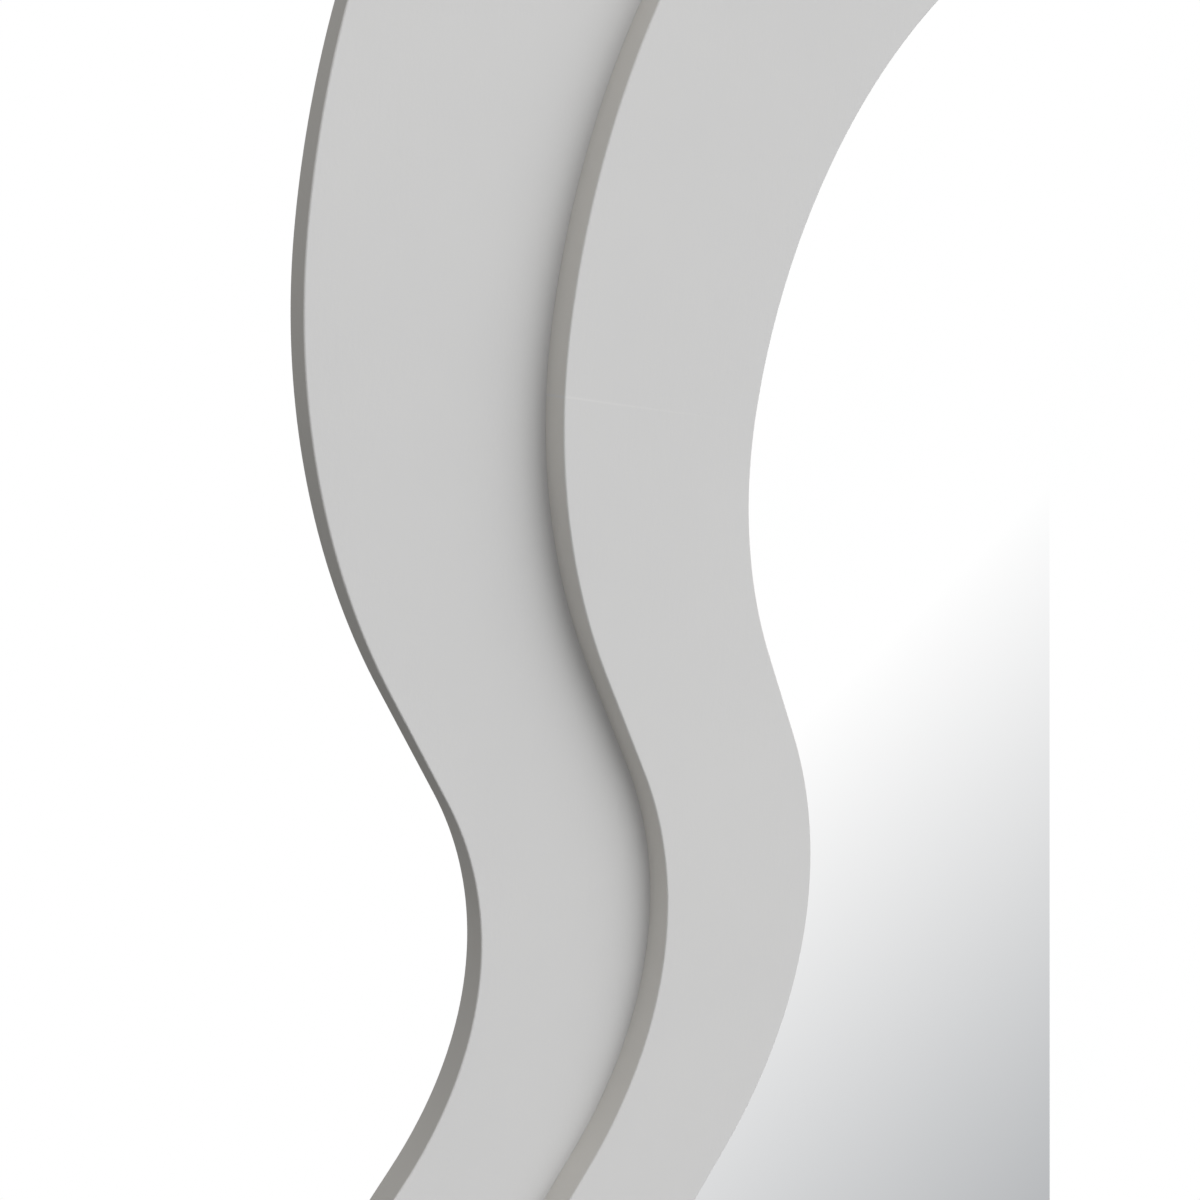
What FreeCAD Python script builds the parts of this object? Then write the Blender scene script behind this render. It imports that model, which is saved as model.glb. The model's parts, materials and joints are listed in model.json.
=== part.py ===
import FreeCAD, Part
import math
import os
import Sketcher

# Wavy wall mirror: two wavy boards, one on the other, round a sheet of mirror glass.
# The front faces -Y, +X is to the right as seen from the front and +Z is up.
# The origin is the middle of the wall plane, which the bumpers on the back touch.

# Driving sizes, in millimetres, with the lobes' rise as shares of half the height
SIZES = (
    # Opening through which the mirror shows
    ("opening_width", 600),
    ("opening_height", 794),
    ("opening_lobe_rise_share", 0.4282),
    ("opening_side_dip", 56.5),
    ("opening_shoulder_radius", 136),
    ("opening_crown_rise", 35),
    # Front tier, measured outwards from the opening
    ("front_side_width", 66),
    ("front_top_width", 68),
    ("front_board", 9),
    ("front_lobe_rise_share", 0.3968),
    ("front_side_dip", 62),
    ("front_shoulder_radius", 173.5),
    ("front_crown_rise", 37.5),
    ("seam_drop", 2.5),
    # Rear tier, measured outwards from the front tier
    ("rear_side_width", 66),
    ("rear_top_width", 66),
    ("rear_board", 9),
    ("rear_lobe_rise_share", 0.3691),
    ("rear_side_dip", 68.5),
    ("rear_shoulder_radius", 200),
    ("rear_crown_rise", 60),
    # Radii of each flank's two arcs, as a share of the largest that fit: a straight run joins the arcs
    ("bend_share", 0.97),
    # Mirror glass and what holds it
    ("glass_rebate", 14),
    ("glass_clearance", 2),
    ("glass_thickness", 4),
    ("packing_clearance", 4),
    ("panel_overlap", 16),
    ("panel_thickness", 3),
    # Screws that join the tiers and hold the hangers
    ("wood_screw_head", 6.6),
    ("wood_screw_shank", 3.5),
    ("wood_screw_length", 15),
    # Screws that hold the backing panel
    ("panel_screw_head", 5.6),
    ("panel_screw_head_height", 1.6),
    ("panel_screw_shank", 3),
    ("panel_screw_length", 9),
    ("screw_clearance", 0.05),
    # Strap hangers and their rings
    ("hanger_rise", 63),
    ("strap_width", 14),
    ("strap_length", 46),
    ("strap_thickness", 1.5),
    ("strap_hole_inset", 8),
    ("strap_hole_spacing", 20),
    ("barrel_lift", 0.4),
    ("ring_wire", 3.5),
    ("ring_play", 0.06),
    ("ring_inner_width", 20),
    ("ring_corner_radius", 4),
    ("ring_leg", 4),
    # Bumpers on the back
    ("bumper_diameter", 18),
    ("bumper_height", 8),
    ("bumper_edge", 1.5),
    ("bumper_inset", 34),
    # Overrun of cutting tools past what they cut
    ("overrun", 10),
)

# Half sizes of the three drawn outlines, before any of them is grown
HALF_WIDTHS = {
    "opening": "Sizes.opening_width / 2",
    "front": "Sizes.opening_width / 2 + Sizes.front_side_width",
    "rear": "Sizes.opening_width / 2 + Sizes.front_side_width + Sizes.rear_side_width",
}
HALF_HEIGHTS = {
    "opening": "Sizes.opening_height / 2",
    "front": "Sizes.opening_height / 2 + Sizes.front_top_width",
    "rear": "Sizes.opening_height / 2 + Sizes.front_top_width + Sizes.rear_top_width",
}

# Every outline in use: its name, the outline it is parallel to and how far outside that one it runs
OUTLINES = (
    ("opening", "opening", "0"),
    ("seat", "opening", "Sizes.glass_rebate"),
    ("glass", "opening", "Sizes.glass_rebate - Sizes.glass_clearance"),
    ("packing", "opening", "Sizes.glass_rebate - Sizes.packing_clearance"),
    ("panel", "opening", "Sizes.glass_rebate + Sizes.panel_overlap"),
    ("panel_screw", "opening", "Sizes.glass_rebate + Sizes.panel_overlap / 2"),
    ("front", "front", "0"),
    ("rear", "rear", "0"),
)

# Planes of the stack, from the wall forwards
PLANES = (
    ("back_plane", "=-Sizes.bumper_height"),
    ("panel_plane", "=Sizes.panel_thickness - Sizes.bumper_height"),
    ("packing_thickness", "=Sizes.rear_board - Sizes.glass_thickness"),
    ("glass_plane", "=-Sizes.bumper_height - Sizes.rear_board + Sizes.glass_thickness"),
    ("tier_plane", "=-Sizes.bumper_height - Sizes.rear_board"),
)

# Where the seams and the hangers are, and the sizes of barrel and ring that follow from strap and wire
FITTING_PLACES = (
    ("seam_height", "=opening_lobe_rise - Sizes.seam_drop"),
    ("hanger_reach", "=(panel_half_width + front_half_width) / 2"),
    ("hanger_height", "=opening_lobe_rise + Sizes.hanger_rise"),
    ("bore_radius", "=Sizes.ring_wire / 2 + Sizes.ring_play"),
    ("barrel_radius", "=bore_radius + Sizes.strap_thickness"),
    ("barrel_height", "=Sizes.barrel_lift + barrel_radius"),
    ("ring_half_width", "=(Sizes.ring_inner_width + Sizes.ring_wire) / 2"),
    ("ring_drop", "=Sizes.ring_corner_radius + Sizes.ring_leg"),
)

# Turns, in degrees from straight outwards, of the screws on each quarter: minus is towards the waist
TIER_SHOULDER_TURNS = (-26,)
TIER_CORNER_TURNS = (20, 46, 72)
PANEL_SHOULDER_TURNS = (-29,)
PANEL_CORNER_TURNS = (14, 60)

FULL_TURN = 360
QUARTERS = ((1, 1), (-1, 1), (-1, -1), (1, -1))
SIDES = (("left", -1), ("right", 1))
BOTH_WAYS = (-1, 1)
STRAP_HOLES = 2
FORWARDS = FreeCAD.Vector(0, -1, 0)


def fill_sheet(name, rows):
    """A sheet with one named cell a row."""
    sheet = doc.addObject("Spreadsheet::Sheet", name)
    for row, (alias, content) in enumerate(rows, start=1):
        sheet.set(f"A{row}", alias)
        sheet.set(f"B{row}", str(content))
        sheet.setAlias(f"B{row}", alias)
    doc.recompute()
    return sheet


def outline_rows():
    """Cells that hold the sizes of every outline."""
    rows = []
    for name, base, grow in OUTLINES:
        rows += [
            (f"{name}_half_width", f"={HALF_WIDTHS[base]} + {grow}"),
            (f"{name}_half_height", f"={HALF_HEIGHTS[base]} + {grow}"),
            (f"{name}_lobe_rise", f"=({HALF_HEIGHTS[base]}) * Sizes.{base}_lobe_rise_share"),
            (f"{name}_waist", f"={name}_half_width - Sizes.{base}_side_dip"),
            (f"{name}_shoulder", f"=Sizes.{base}_shoulder_radius + {grow}"),
            (f"{name}_valley", f"=Sizes.bend_share * ({name}_lobe_rise ^ 2 + Sizes.{base}_side_dip ^ 2)"
                               f" / (2 * Sizes.{base}_side_dip) - {name}_shoulder"),
            (f"{name}_corner", f"={name}_half_height - {name}_lobe_rise - Sizes.{base}_crown_rise"),
        ]
    return rows


def size(alias):
    """A driving size or a worked-out one, as a number."""
    sheet = sizes if alias in dict(SIZES) else places
    return float(sheet.get(alias))


def outline_sizes(name):
    """The sizes that shape one outline."""
    return [size(f"{name}_{part}") for part in
            ("half_width", "half_height", "lobe_rise", "waist", "valley", "shoulder", "corner")]


def crown_sizes(name):
    """The radius of an outline's crown arc and the turn, from straight outwards, at which it starts."""
    half_width, half_height, rise, waist, valley, shoulder, corner = outline_sizes(name)
    inset = half_width - corner
    lift = half_height - rise - corner
    crown = (inset ** 2 + lift ** 2) / (2 * lift) + corner
    return crown, math.atan2(rise - half_height + crown, inset)


def run_turn(name):
    """The turn, from straight outwards, of the direction that an outline's straight run faces."""
    half_width, half_height, rise, waist, valley, shoulder, corner = outline_sizes(name)
    across = half_width - shoulder - waist - valley
    return math.atan2(rise, across) - math.acos(-(valley + shoulder) / math.hypot(rise, across))


def plane_of(body, role):
    """One of a body's own origin planes."""
    return next(plane for plane in body.Origin.OriginFeatures if plane.Role == role)


def new_sketch(body, name, role):
    sketch = body.newObject("Sketcher::SketchObject", name)
    sketch.AttachmentSupport = [(plane_of(body, role), "")]
    sketch.MapMode = "FlatFace"
    return sketch


def bind(sketch, constraint, expression):
    """Adds a sized constraint and ties its value to the sheets."""
    index = sketch.addConstraint(constraint)
    sketch.setExpression(f"Constraints[{index}]", expression)


def arc(centre_x, centre_y, radius, start, end):
    centre = FreeCAD.Vector(centre_x, centre_y, 0)
    return Part.ArcOfCircle(Part.Circle(centre, FreeCAD.Vector(0, 0, 1), radius), start, end)


def draw_quarter(sketch, name):
    """Draws the upper right quarter of an outline as tangent arcs and a run and returns its two end points.

    From the waist the valley arc swings out to a straight run, and that leads into the shoulder arc, which
    ends at the widest point of the lobe. There the corner arc takes over, and the crown arc goes on to the
    middle of the top.
    """
    half_width, half_height, rise, waist, valley, shoulder, corner = outline_sizes(name)
    turn = run_turn(name)
    crown, crown_turn = crown_sizes(name)
    valley_arc, shoulder_arc, corner_arc, crown_arc = sketch.addGeometry([
        arc(waist + valley, 0, valley, turn + math.pi, math.pi),
        arc(half_width - shoulder, rise, shoulder, turn, 0),
        arc(half_width - corner, rise, corner, 0, crown_turn),
        arc(0, half_height - crown, crown, crown_turn, math.pi / 2),
    ], False)
    ends = sketch.getPoint(valley_arc, 1), sketch.getPoint(shoulder_arc, 1)
    run = sketch.addGeometry(Part.LineSegment(*ends), False)
    limit = Sketcher.Constraint
    sketch.addConstraint([
        limit("PointOnObject", valley_arc, 2, -1),
        limit("PointOnObject", valley_arc, 3, -1),
        limit("Tangent", valley_arc, 1, run, 1),
        limit("Tangent", run, 2, shoulder_arc, 1),
        limit("Horizontal", shoulder_arc, 3, shoulder_arc, 2),
        limit("Tangent", shoulder_arc, 2, corner_arc, 1),
        limit("Tangent", corner_arc, 2, crown_arc, 1),
        limit("PointOnObject", crown_arc, 2, -2),
        limit("PointOnObject", crown_arc, 3, -2),
    ])
    bind(sketch, limit("DistanceX", -1, 1, valley_arc, 2, waist), f"Places.{name}_waist")
    bind(sketch, limit("DistanceX", -1, 1, shoulder_arc, 2, half_width), f"Places.{name}_half_width")
    bind(sketch, limit("DistanceY", -1, 1, shoulder_arc, 2, rise), f"Places.{name}_lobe_rise")
    bind(sketch, limit("Radius", valley_arc, valley), f"Places.{name}_valley")
    bind(sketch, limit("Radius", shoulder_arc, shoulder), f"Places.{name}_shoulder")
    bind(sketch, limit("Radius", corner_arc, corner), f"Places.{name}_corner")
    bind(sketch, limit("DistanceY", -1, 1, crown_arc, 2, half_height), f"Places.{name}_half_height")
    return (valley_arc, 2), (crown_arc, 2)


def join(sketch, first, last):
    """A straight line between two points of a sketch, given as geometry and point numbers."""
    line = sketch.addGeometry(Part.LineSegment(sketch.getPoint(*first), sketch.getPoint(*last)), False)
    sketch.addConstraint([
        Sketcher.Constraint("Coincident", line, 1, *first),
        Sketcher.Constraint("Coincident", line, 2, *last),
    ])


def wavy_board(label, outer, inner, plane, thickness):
    """A wavy board, with a wavy opening where inner names one, as one quarter mirrored twice."""
    body = doc.addObject("PartDesign::Body", label)
    sketch = new_sketch(body, f"{label}_profile", "XZ_Plane")
    waist, crown = draw_quarter(sketch, outer)
    if inner:
        inner_waist, inner_crown = draw_quarter(sketch, inner)
        join(sketch, inner_waist, waist)
        join(sketch, inner_crown, crown)
    else:
        join(sketch, (-1, 1), waist)
        join(sketch, (-1, 1), crown)
    pad = body.newObject("PartDesign::Pad", f"{label}_pad")
    pad.Profile = sketch
    pad.setExpression("Length", thickness)
    mirrors = body.newObject("PartDesign::MultiTransform", f"{label}_mirrors")
    mirrors.Originals = [pad]
    planes = []
    for role in ("YZ_Plane", "XY_Plane"):
        mirror = body.newObject("PartDesign::Mirrored", f"{label}_{role}")
        mirror.MirrorPlane = (plane_of(body, role), [""])
        planes.append(mirror)
    mirrors.Transformations = planes
    body.Tip = mirrors
    body.setExpression("Placement.Base.y", plane)
    return body


def combine(kind, label, base, tool):
    """A boolean of two objects of the document."""
    result = doc.addObject(f"Part::{kind}", label)
    result.Base = base
    result.Tool = tool
    return result


def shaped(label, shape):
    """An object whose shape is made here."""
    feature = doc.addObject("Part::Feature", label)
    feature.Shape = shape
    return feature


def turned(points):
    """A solid turned about the Y axis from a closed profile of radius and depth pairs."""
    corners = [FreeCAD.Vector(radius, -depth, 0) for radius, depth in points]
    face = Part.Face(Part.makePolygon(corners + corners[:1]))
    return face.revolve(FreeCAD.Vector(), FORWARDS, FULL_TURN)


def wood_screw(grow):
    """A countersunk screw whose head is flush at depth zero, or its bore where grow is the clearance."""
    head = size("wood_screw_head") / 2 + grow
    shank = size("wood_screw_shank") / 2 + grow
    length = size("wood_screw_length") + grow
    cone = head - shank
    return turned([(0, 0), (head, 0), (shank, cone), (shank, length - shank), (0, length)])


def panel_screw(grow):
    """A pan-head screw whose head stands on depth zero, or its bore where grow is the clearance."""
    head = size("panel_screw_head") / 2
    shank = size("panel_screw_shank") / 2 + grow
    length = size("panel_screw_length") + grow
    top = -size("panel_screw_head_height")
    if grow:
        return turned([(0, 0), (shank, 0), (shank, length - shank), (0, length)])
    rim = head + top / 2
    return turned([(0, top), (rim, top), (head, top / 2), (head, 0),
                   (shank, 0), (shank, length - shank), (0, length)])


def bumper():
    """A soft round bumper whose top touches the wall, eased round its rim."""
    radius = size("bumper_diameter") / 2
    height = size("bumper_height")
    edge = size("bumper_edge")
    return turned([(0, 0), (radius - edge, 0), (radius, edge), (radius, height), (0, height)])


def set_of(shape, spots):
    """Separate copies of one solid at places given as X, Y and Z."""
    copies = []
    for spot in spots:
        copy = shape.copy()
        copy.translate(FreeCAD.Vector(*spot))
        copies.append(copy)
    return Part.makeCompound(copies)


def lobe_point(name, turn):
    """The point of a quarter outline at a turn about the centre of its shoulder, corner or crown arc."""
    half_width, half_height, rise, waist, valley, shoulder, corner = outline_sizes(name)
    crown, crown_turn = crown_sizes(name)
    angle = math.radians(turn)
    if angle > crown_turn:
        return crown * math.cos(angle), half_height - crown + crown * math.sin(angle)
    radius = corner if turn > 0 else shoulder
    return half_width - radius + radius * math.cos(angle), rise + radius * math.sin(angle)


def between(first, last):
    return tuple((a + b) / 2 for a, b in zip(first, last))


def all_round(inner, outer, turns, plane):
    """Spots midway between two outlines: at the waists, at the crowns and at the turns on all four lobes."""
    half_way = size(f"{inner}_waist") + size(f"{outer}_waist")
    half_up = size(f"{inner}_half_height") + size(f"{outer}_half_height")
    spots = [(across * half_way / 2, plane, 0) for across in BOTH_WAYS]
    spots += [(0, plane, up * half_up / 2) for up in BOTH_WAYS]
    for turn in turns:
        x, z = between(lobe_point(inner, turn), lobe_point(outer, turn))
        spots += [(across * x, plane, up * z) for across, up in QUARTERS]
    return spots


def half_space(label, side):
    """A block that holds everything on one side of the middle plane."""
    block = doc.addObject("Part::Box", label)
    block.setExpression("Length", "Places.rear_half_width + Sizes.overrun")
    block.setExpression("Width", "Sizes.rear_board + Sizes.front_board + 2 * Sizes.overrun")
    block.setExpression("Height", "2 * Places.rear_half_height + 2 * Sizes.overrun")
    if side < 0:
        block.setExpression("Placement.Base.x", "-Places.rear_half_width - Sizes.overrun")
    block.setExpression("Placement.Base.y", "Places.tier_plane - Sizes.front_board - Sizes.overrun")
    block.setExpression("Placement.Base.z", "-Places.rear_half_height - Sizes.overrun")
    return block


def crown_saw():
    """A block that takes the front tier's crown off along its two level seams."""
    block = doc.addObject("Part::Box", "crown_saw")
    block.setExpression("Length", "2 * Places.front_half_width + 2 * Sizes.overrun")
    block.setExpression("Width", "Sizes.front_board + 2 * Sizes.overrun")
    block.setExpression("Height", "Places.front_half_height + Sizes.overrun - Places.seam_height")
    block.setExpression("Placement.Base.x", "-Places.front_half_width - Sizes.overrun")
    block.setExpression("Placement.Base.y", "Places.tier_plane - Sizes.front_board - Sizes.overrun")
    block.setExpression("Placement.Base.z", "Places.seam_height")
    return block


def place_hanger_piece(piece, side):
    """Puts a piece drawn about the hinge line's foot in its place on the back of the rear tier."""
    sign = "" if side > 0 else "-"
    piece.setExpression("Placement.Base.x", f"{sign}Places.hanger_reach")
    piece.setExpression("Placement.Base.y", "Places.back_plane")
    piece.setExpression("Placement.Base.z", "Places.hanger_height")


def strap_plate(label, side):
    """A pressed strap with a rounded foot, lying on the back, and a barrel rolled across its upper end."""
    body = doc.addObject("PartDesign::Body", label)
    half = size("strap_width") / 2
    straight = size("strap_length") - half
    limit = Sketcher.Constraint
    leaf = new_sketch(body, f"{label}_leaf", "XZ_Plane")
    top, right, left = leaf.addGeometry([
        Part.LineSegment(FreeCAD.Vector(-half, 0, 0), FreeCAD.Vector(half, 0, 0)),
        Part.LineSegment(FreeCAD.Vector(half, 0, 0), FreeCAD.Vector(half, -straight, 0)),
        Part.LineSegment(FreeCAD.Vector(-half, -straight, 0), FreeCAD.Vector(-half, 0, 0)),
    ], False)
    foot = leaf.addGeometry(arc(0, -straight, half, math.pi, 2 * math.pi), False)
    leaf.addConstraint([
        limit("Coincident", top, 2, right, 1),
        limit("Coincident", left, 2, top, 1),
        limit("Tangent", right, 2, foot, 2),
        limit("Tangent", left, 1, foot, 1),
        limit("PointOnObject", top, 1, -1),
        limit("Horizontal", top),
        limit("Vertical", right),
        limit("PointOnObject", foot, 3, -2),
    ])
    bind(leaf, limit("Radius", foot, half), "Sizes.strap_width / 2")
    bind(leaf, limit("DistanceY", right, 2, right, 1, straight), "Sizes.strap_length - Sizes.strap_width / 2")
    leaf_pad = body.newObject("PartDesign::Pad", f"{label}_leaf_pad")
    leaf_pad.Profile = leaf
    leaf_pad.setExpression("Length", "Sizes.strap_thickness")
    leaf_pad.Reversed = True
    height = size("barrel_height")
    barrel = new_sketch(body, f"{label}_barrel", "YZ_Plane")
    bore = new_sketch(body, f"{label}_bore", "YZ_Plane")
    for sketch, radius in ((barrel, "barrel_radius"), (bore, "bore_radius")):
        ring = sketch.addGeometry(
            Part.Circle(FreeCAD.Vector(height, 0, 0), FreeCAD.Vector(0, 0, 1), size(radius)), False)
        sketch.addConstraint(limit("PointOnObject", ring, 3, -1))
        bind(sketch, limit("DistanceX", -1, 1, ring, 3, height), "Places.barrel_height")
        bind(sketch, limit("Radius", ring, size(radius)), f"Places.{radius}")
    barrel_pad = body.newObject("PartDesign::Pad", f"{label}_barrel_pad")
    barrel_pad.Profile = barrel
    barrel_pad.setExpression("Length", "Sizes.strap_width")
    barrel_pad.Midplane = True
    bore_cut = body.newObject("PartDesign::Pocket", f"{label}_bore_cut")
    bore_cut.Profile = bore
    bore_cut.Type = "ThroughAll"
    bore_cut.Midplane = True
    place_hanger_piece(body, side)
    return body


def hanger_ring(label, side):
    """A D-shaped wire ring that hangs from its straight bar, which lies in the strap's barrel."""
    body = doc.addObject("PartDesign::Body", label)
    half = size("ring_half_width")
    corner = size("ring_corner_radius")
    drop = size("ring_drop")
    height = size("barrel_height")
    wire = size("ring_wire") / 2
    limit = Sketcher.Constraint
    path = new_sketch(body, f"{label}_path", "XZ_Plane")
    path.setExpression("AttachmentOffset.Base.z", "-Places.barrel_height")
    bar, right_leg, left_leg = path.addGeometry([
        Part.LineSegment(FreeCAD.Vector(corner - half, 0, 0), FreeCAD.Vector(half - corner, 0, 0)),
        Part.LineSegment(FreeCAD.Vector(half, -corner, 0), FreeCAD.Vector(half, -drop, 0)),
        Part.LineSegment(FreeCAD.Vector(-half, -drop, 0), FreeCAD.Vector(-half, -corner, 0)),
    ], False)
    right_corner, bow, left_corner = path.addGeometry([
        arc(half - corner, -corner, corner, 0, math.pi / 2),
        arc(0, -drop, half, math.pi, 2 * math.pi),
        arc(corner - half, -corner, corner, math.pi / 2, math.pi),
    ], False)
    path.addConstraint([
        limit("Tangent", bar, 2, right_corner, 2),
        limit("Tangent", right_corner, 1, right_leg, 1),
        limit("Tangent", right_leg, 2, bow, 2),
        limit("Tangent", bow, 1, left_leg, 1),
        limit("Tangent", left_leg, 2, left_corner, 2),
        limit("Tangent", left_corner, 1, bar, 1),
        limit("PointOnObject", bar, 1, -1),
        limit("Horizontal", bar),
        limit("PointOnObject", bow, 3, -2),
        limit("Equal", left_corner, right_corner),
    ])
    bind(path, limit("Radius", bow, half), "Places.ring_half_width")
    bind(path, limit("Radius", right_corner, corner), "Sizes.ring_corner_radius")
    bind(path, limit("DistanceY", bow, 3, -1, 1, drop), "Places.ring_drop")
    section = new_sketch(body, f"{label}_section", "YZ_Plane")
    circle = section.addGeometry(
        Part.Circle(FreeCAD.Vector(height, 0, 0), FreeCAD.Vector(0, 0, 1), wire), False)
    section.addConstraint(limit("PointOnObject", circle, 3, -1))
    bind(section, limit("DistanceX", -1, 1, circle, 3, height), "Places.barrel_height")
    bind(section, limit("Radius", circle, wire), "Sizes.ring_wire / 2")
    pipe = body.newObject("PartDesign::AdditivePipe", f"{label}_pipe")
    pipe.Profile = section
    pipe.Spine = (path, [])
    place_hanger_piece(body, side)
    return body


def check(objects):
    """Stops if any object failed or any piece is not sound."""
    failed = [item.Label for item in doc.Objects if {"Invalid", "Error"} & set(item.State)]
    unsound = [item.Label for item in objects if item.Shape.isNull() or not item.Shape.isValid()]
    if failed or unsound:
        raise RuntimeError(f"failed: {failed}, not sound: {unsound}")


doc = FreeCAD.newDocument("WavyMirror")
sizes = fill_sheet("Sizes", SIZES)
places = fill_sheet("Places", list(PLANES) + outline_rows() + list(FITTING_PLACES))

# Whole boards, before drilling and sawing
rear_board = wavy_board("rear_board", "rear", "seat", "Places.back_plane", "Sizes.rear_board")
front_board = wavy_board("front_board", "front", "opening", "Places.tier_plane", "Sizes.front_board")
panel_blank = wavy_board("panel_blank", "panel", None, "Places.panel_plane", "Sizes.panel_thickness")
mirror_glass = wavy_board("mirror_glass", "glass", None, "Places.glass_plane", "Sizes.glass_thickness")
packing_sheet = wavy_board("packing_sheet", "packing", None, "Places.back_plane", "Places.packing_thickness")

# Hangers, with their leaves still without holes
strap_blanks = {name: strap_plate(f"strap_blank_{name}", side) for name, side in SIDES}
rings = [hanger_ring(f"hanger_ring_{name}", side) for name, side in SIDES]

# Screws, and the bores that they run in
clearance = size("screw_clearance")
back = size("back_plane")
tier_spots = all_round("seat", "front", TIER_SHOULDER_TURNS + TIER_CORNER_TURNS, back)
panel_turns = PANEL_SHOULDER_TURNS + PANEL_CORNER_TURNS
panel_spots = all_round("panel_screw", "panel_screw", panel_turns, size("panel_plane"))
hanger_spots = [
    (side * size("hanger_reach"), back + size("strap_thickness"),
     size("hanger_height") - size("strap_length") + size("strap_hole_inset") + step * size("strap_hole_spacing"))
    for side in BOTH_WAYS for step in range(STRAP_HOLES)]
tier_screws = shaped("tier_screws", set_of(wood_screw(0), tier_spots))
panel_screws = shaped("panel_screws", set_of(panel_screw(0), panel_spots))
hanger_screws = shaped("hanger_screws", set_of(wood_screw(0), hanger_spots))
wood_bores = shaped("wood_bores", set_of(wood_screw(clearance), tier_spots + hanger_spots))
panel_bores = shaped("panel_bores", set_of(panel_screw(clearance), panel_spots))

# Bumpers at the widest points of the lobes
bumper_reach = size("rear_half_width") - size("bumper_inset")
bumper_spots = [(across * bumper_reach, 0, up * size("rear_lobe_rise")) for across, up in QUARTERS]
wall_bumpers = shaped("wall_bumpers", set_of(bumper(), bumper_spots))

# Drilled boards and leaves
rear_screwed = combine("Cut", "rear_screwed", rear_board, wood_bores)
rear_drilled = combine("Cut", "rear_drilled", rear_screwed, panel_bores)
front_drilled = combine("Cut", "front_drilled", front_board, wood_bores)
backing_panel = combine("Cut", "backing_panel", panel_blank, panel_bores)
plates = [combine("Cut", f"hanger_plate_{name}", strap_blanks[name], wood_bores) for name, side in SIDES]

# Rear tier as two halves, butted at the top and bottom of the middle line
blocks = {name: half_space(f"{name}_block", side) for name, side in SIDES}
rear_halves = [combine("Common", f"rear_tier_{name}", rear_drilled, blocks[name]) for name, side in SIDES]

# Front tier as a crown, a foot and two flanks, butted just below and above the widest points of the lobes
saw = crown_saw()
foot_saw = doc.addObject("Part::Mirroring", "foot_saw")
foot_saw.Source = saw
foot_saw.Normal = FreeCAD.Vector(0, 0, 1)
front_top = combine("Common", "front_tier_top", front_drilled, saw)
front_bottom = combine("Common", "front_tier_bottom", front_drilled, foot_saw)
front_lower = combine("Cut", "front_lower", front_drilled, saw)
flanks = combine("Cut", "flanks", front_lower, foot_saw)
front_sides = [combine("Common", f"front_tier_{name}", flanks, blocks[name]) for name, side in SIDES]

doc.recompute()
pieces = [
    *rear_halves, front_top, front_bottom, *front_sides, mirror_glass, packing_sheet, backing_panel,
    tier_screws, panel_screws, *plates, *rings, hanger_screws, wall_bumpers,
]
check(pieces)
os.makedirs("parts", exist_ok=True)
for piece in pieces:
    piece.Shape.exportStep(f"parts/{piece.Label}.step")
    box = piece.Shape.BoundBox
    print(piece.Label, len(piece.Shape.Solids), "solids", round(piece.Shape.Volume), "mm3",
          [round(value, 2) for value in (box.XMin, box.YMin, box.ZMin, box.XMax, box.YMax, box.ZMax)])
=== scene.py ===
import json
import math

import bmesh
import bpy
from mathutils import Matrix, Vector

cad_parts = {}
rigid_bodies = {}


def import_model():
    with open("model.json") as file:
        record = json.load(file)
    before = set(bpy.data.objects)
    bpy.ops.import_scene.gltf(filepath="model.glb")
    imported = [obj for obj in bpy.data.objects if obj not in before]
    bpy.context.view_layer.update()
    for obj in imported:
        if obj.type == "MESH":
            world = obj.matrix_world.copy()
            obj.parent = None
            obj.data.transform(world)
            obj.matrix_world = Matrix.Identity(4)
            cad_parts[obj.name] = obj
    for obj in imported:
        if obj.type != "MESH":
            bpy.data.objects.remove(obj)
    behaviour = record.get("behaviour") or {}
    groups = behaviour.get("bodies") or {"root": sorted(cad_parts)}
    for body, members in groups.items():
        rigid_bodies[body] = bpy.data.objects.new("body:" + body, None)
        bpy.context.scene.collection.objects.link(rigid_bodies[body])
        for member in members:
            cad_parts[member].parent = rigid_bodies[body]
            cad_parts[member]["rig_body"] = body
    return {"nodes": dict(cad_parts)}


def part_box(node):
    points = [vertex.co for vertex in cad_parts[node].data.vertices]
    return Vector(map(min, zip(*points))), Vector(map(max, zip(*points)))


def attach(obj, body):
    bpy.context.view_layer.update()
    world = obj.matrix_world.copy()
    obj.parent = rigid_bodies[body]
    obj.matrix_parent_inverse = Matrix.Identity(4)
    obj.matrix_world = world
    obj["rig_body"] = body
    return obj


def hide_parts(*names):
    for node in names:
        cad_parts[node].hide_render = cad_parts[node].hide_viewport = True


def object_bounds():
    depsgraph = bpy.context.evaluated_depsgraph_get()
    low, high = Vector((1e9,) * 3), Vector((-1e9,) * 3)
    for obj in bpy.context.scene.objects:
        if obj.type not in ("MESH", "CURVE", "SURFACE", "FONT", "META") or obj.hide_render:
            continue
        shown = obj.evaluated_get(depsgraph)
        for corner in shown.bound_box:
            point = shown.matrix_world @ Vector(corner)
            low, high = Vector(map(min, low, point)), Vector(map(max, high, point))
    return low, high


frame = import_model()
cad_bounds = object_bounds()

# Wavy wall mirror: looks of the painted boards, the mirror and the fittings on the back.
# The frame's own axes hold: the front faces -Y, +X is to the right and +Z is up, in metres.

MM = 0.001

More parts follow.
